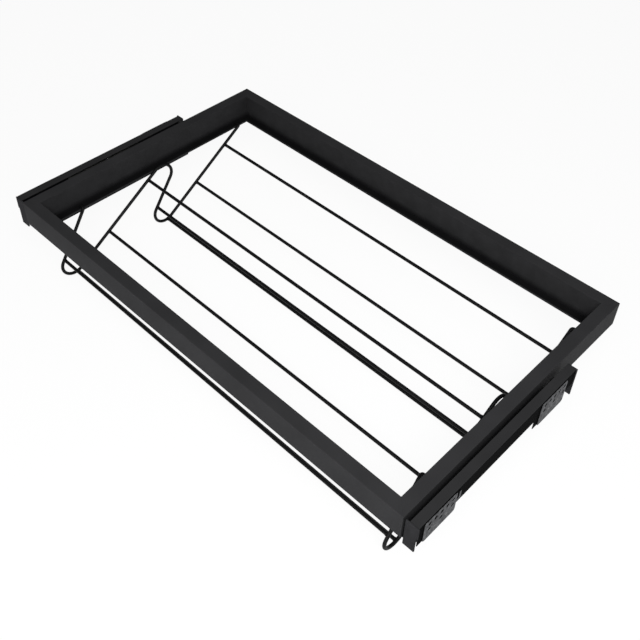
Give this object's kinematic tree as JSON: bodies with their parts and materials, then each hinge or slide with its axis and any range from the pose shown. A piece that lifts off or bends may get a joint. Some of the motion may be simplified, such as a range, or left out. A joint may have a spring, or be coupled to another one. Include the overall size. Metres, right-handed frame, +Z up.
{
  "type": "pull-out shoe rack",
  "caption": "Pull-out wardrobe shoe rack: black mitred frame on covered ball-bearing slides, holding a stepped rack of bent wires and long rods, with perforated wall brackets.",
  "frame": {"origin": "under the middle of the frame, midway between the side panels and midway from front to back, level with the underside of the lowest wires", "axes": "+X to the right seen from the front, +Y to the back of the wardrobe, +Z up; the rack pulls out along -Y"},
  "size_m": [0.764, 0.44, 0.147],
  "materials": {
    "frame_black": "black textured powder coat on aluminium",
    "wire_black": "black gloss coating on steel wire",
    "cover_black": "black powder coat on steel sheet",
    "carrier_black": "black coating on a steel angle",
    "cap_black": "matte moulded plastic",
    "cleat_alloy": "bare die-cast alloy",
    "galvanised": "galvanised sheet with spangle",
    "slide_steel": "black dip coat on rolled steel strip",
    "screw_zinc": "black passivated zinc plating",
    "cage_steel": "bare stamped steel strip",
    "ball_steel": "polished balls",
    "buffer_black": "moulded rubber"
  },
  "bodies": {
    "fixed_sides": {"left_cabinet_rail": "slide_steel", "right_cabinet_rail": "slide_steel", "left_buffer": "buffer_black", "right_buffer": "buffer_black", "left_cover": "cover_black", "right_cover": "cover_black", "left_rear_cap": "cap_black", "right_rear_cap": "cap_black", "left_front_bracket": "galvanised", "right_front_bracket": "galvanised", "left_rear_bracket": "galvanised", "right_rear_bracket": "galvanised", "left_rivets": "screw_zinc", "right_rivets": "screw_zinc"},
    "left_middle_slide": {"left_middle_rail": "slide_steel"},
    "left_outer_bearing": {"left_outer_cages": "cage_steel", "left_outer_balls": "ball_steel"},
    "left_inner_bearing": {"left_inner_cages": "cage_steel", "left_inner_balls": "ball_steel"},
    "right_middle_slide": {"right_middle_rail": "slide_steel"},
    "right_outer_bearing": {"right_outer_cages": "cage_steel", "right_outer_balls": "ball_steel"},
    "right_inner_bearing": {"right_inner_cages": "cage_steel", "right_inner_balls": "ball_steel"},
    "rack": {"front_bar": "frame_black", "rear_bar": "frame_black", "left_bar": "frame_black", "right_bar": "frame_black", "corner_cleats": "cleat_alloy", "cleat_screws": "screw_zinc", "left_end_wire": "wire_black", "right_end_wire": "wire_black", "front_upper_rod": "wire_black", "front_lower_rod": "wire_black", "front_trough_rod": "wire_black", "front_stop_rod": "wire_black", "rear_upper_rod": "wire_black", "rear_lower_rod": "wire_black", "rear_trough_rod": "wire_black", "rear_stop_rod": "wire_black", "left_carrier": "carrier_black", "right_carrier": "carrier_black", "left_bar_screws": "screw_zinc", "right_bar_screws": "screw_zinc", "left_rail_screws": "screw_zinc", "right_rail_screws": "screw_zinc", "left_rail_nuts": "screw_zinc", "right_rail_nuts": "screw_zinc", "left_front_cap": "cap_black", "right_front_cap": "cap_black", "left_drawer_rail": "slide_steel", "right_drawer_rail": "slide_steel"}
  },
  "joints": [
    {"name": "rack_pull", "type": "slide", "parent": "fixed_sides", "child": "rack", "axis": [0, -1, 0], "range_m": [0, 0.3]},
    {"name": "left_outer_bearing_run", "type": "slide", "parent": "fixed_sides", "child": "left_outer_bearing", "axis": [0, -1, 0], "range_m": [0, 0.075]},
    {"name": "left_middle_slide_run", "type": "slide", "parent": "fixed_sides", "child": "left_middle_slide", "axis": [0, -1, 0], "range_m": [0, 0.15]},
    {"name": "left_inner_bearing_run", "type": "slide", "parent": "fixed_sides", "child": "left_inner_bearing", "axis": [0, -1, 0], "range_m": [0, 0.225]},
    {"name": "right_outer_bearing_run", "type": "slide", "parent": "fixed_sides", "child": "right_outer_bearing", "axis": [0, -1, 0], "range_m": [0, 0.075]},
    {"name": "right_middle_slide_run", "type": "slide", "parent": "fixed_sides", "child": "right_middle_slide", "axis": [0, -1, 0], "range_m": [0, 0.15]},
    {"name": "right_inner_bearing_run", "type": "slide", "parent": "fixed_sides", "child": "right_inner_bearing", "axis": [0, -1, 0], "range_m": [0, 0.225]}
  ],
  "couplings": [
    {"joint": "left_outer_bearing_run", "follows": "rack_pull", "ratio": 0.25},
    {"joint": "left_middle_slide_run", "follows": "rack_pull", "ratio": 0.5},
    {"joint": "left_inner_bearing_run", "follows": "rack_pull", "ratio": 0.75},
    {"joint": "right_outer_bearing_run", "follows": "rack_pull", "ratio": 0.25},
    {"joint": "right_middle_slide_run", "follows": "rack_pull", "ratio": 0.5},
    {"joint": "right_inner_bearing_run", "follows": "rack_pull", "ratio": 0.75}
  ]
}
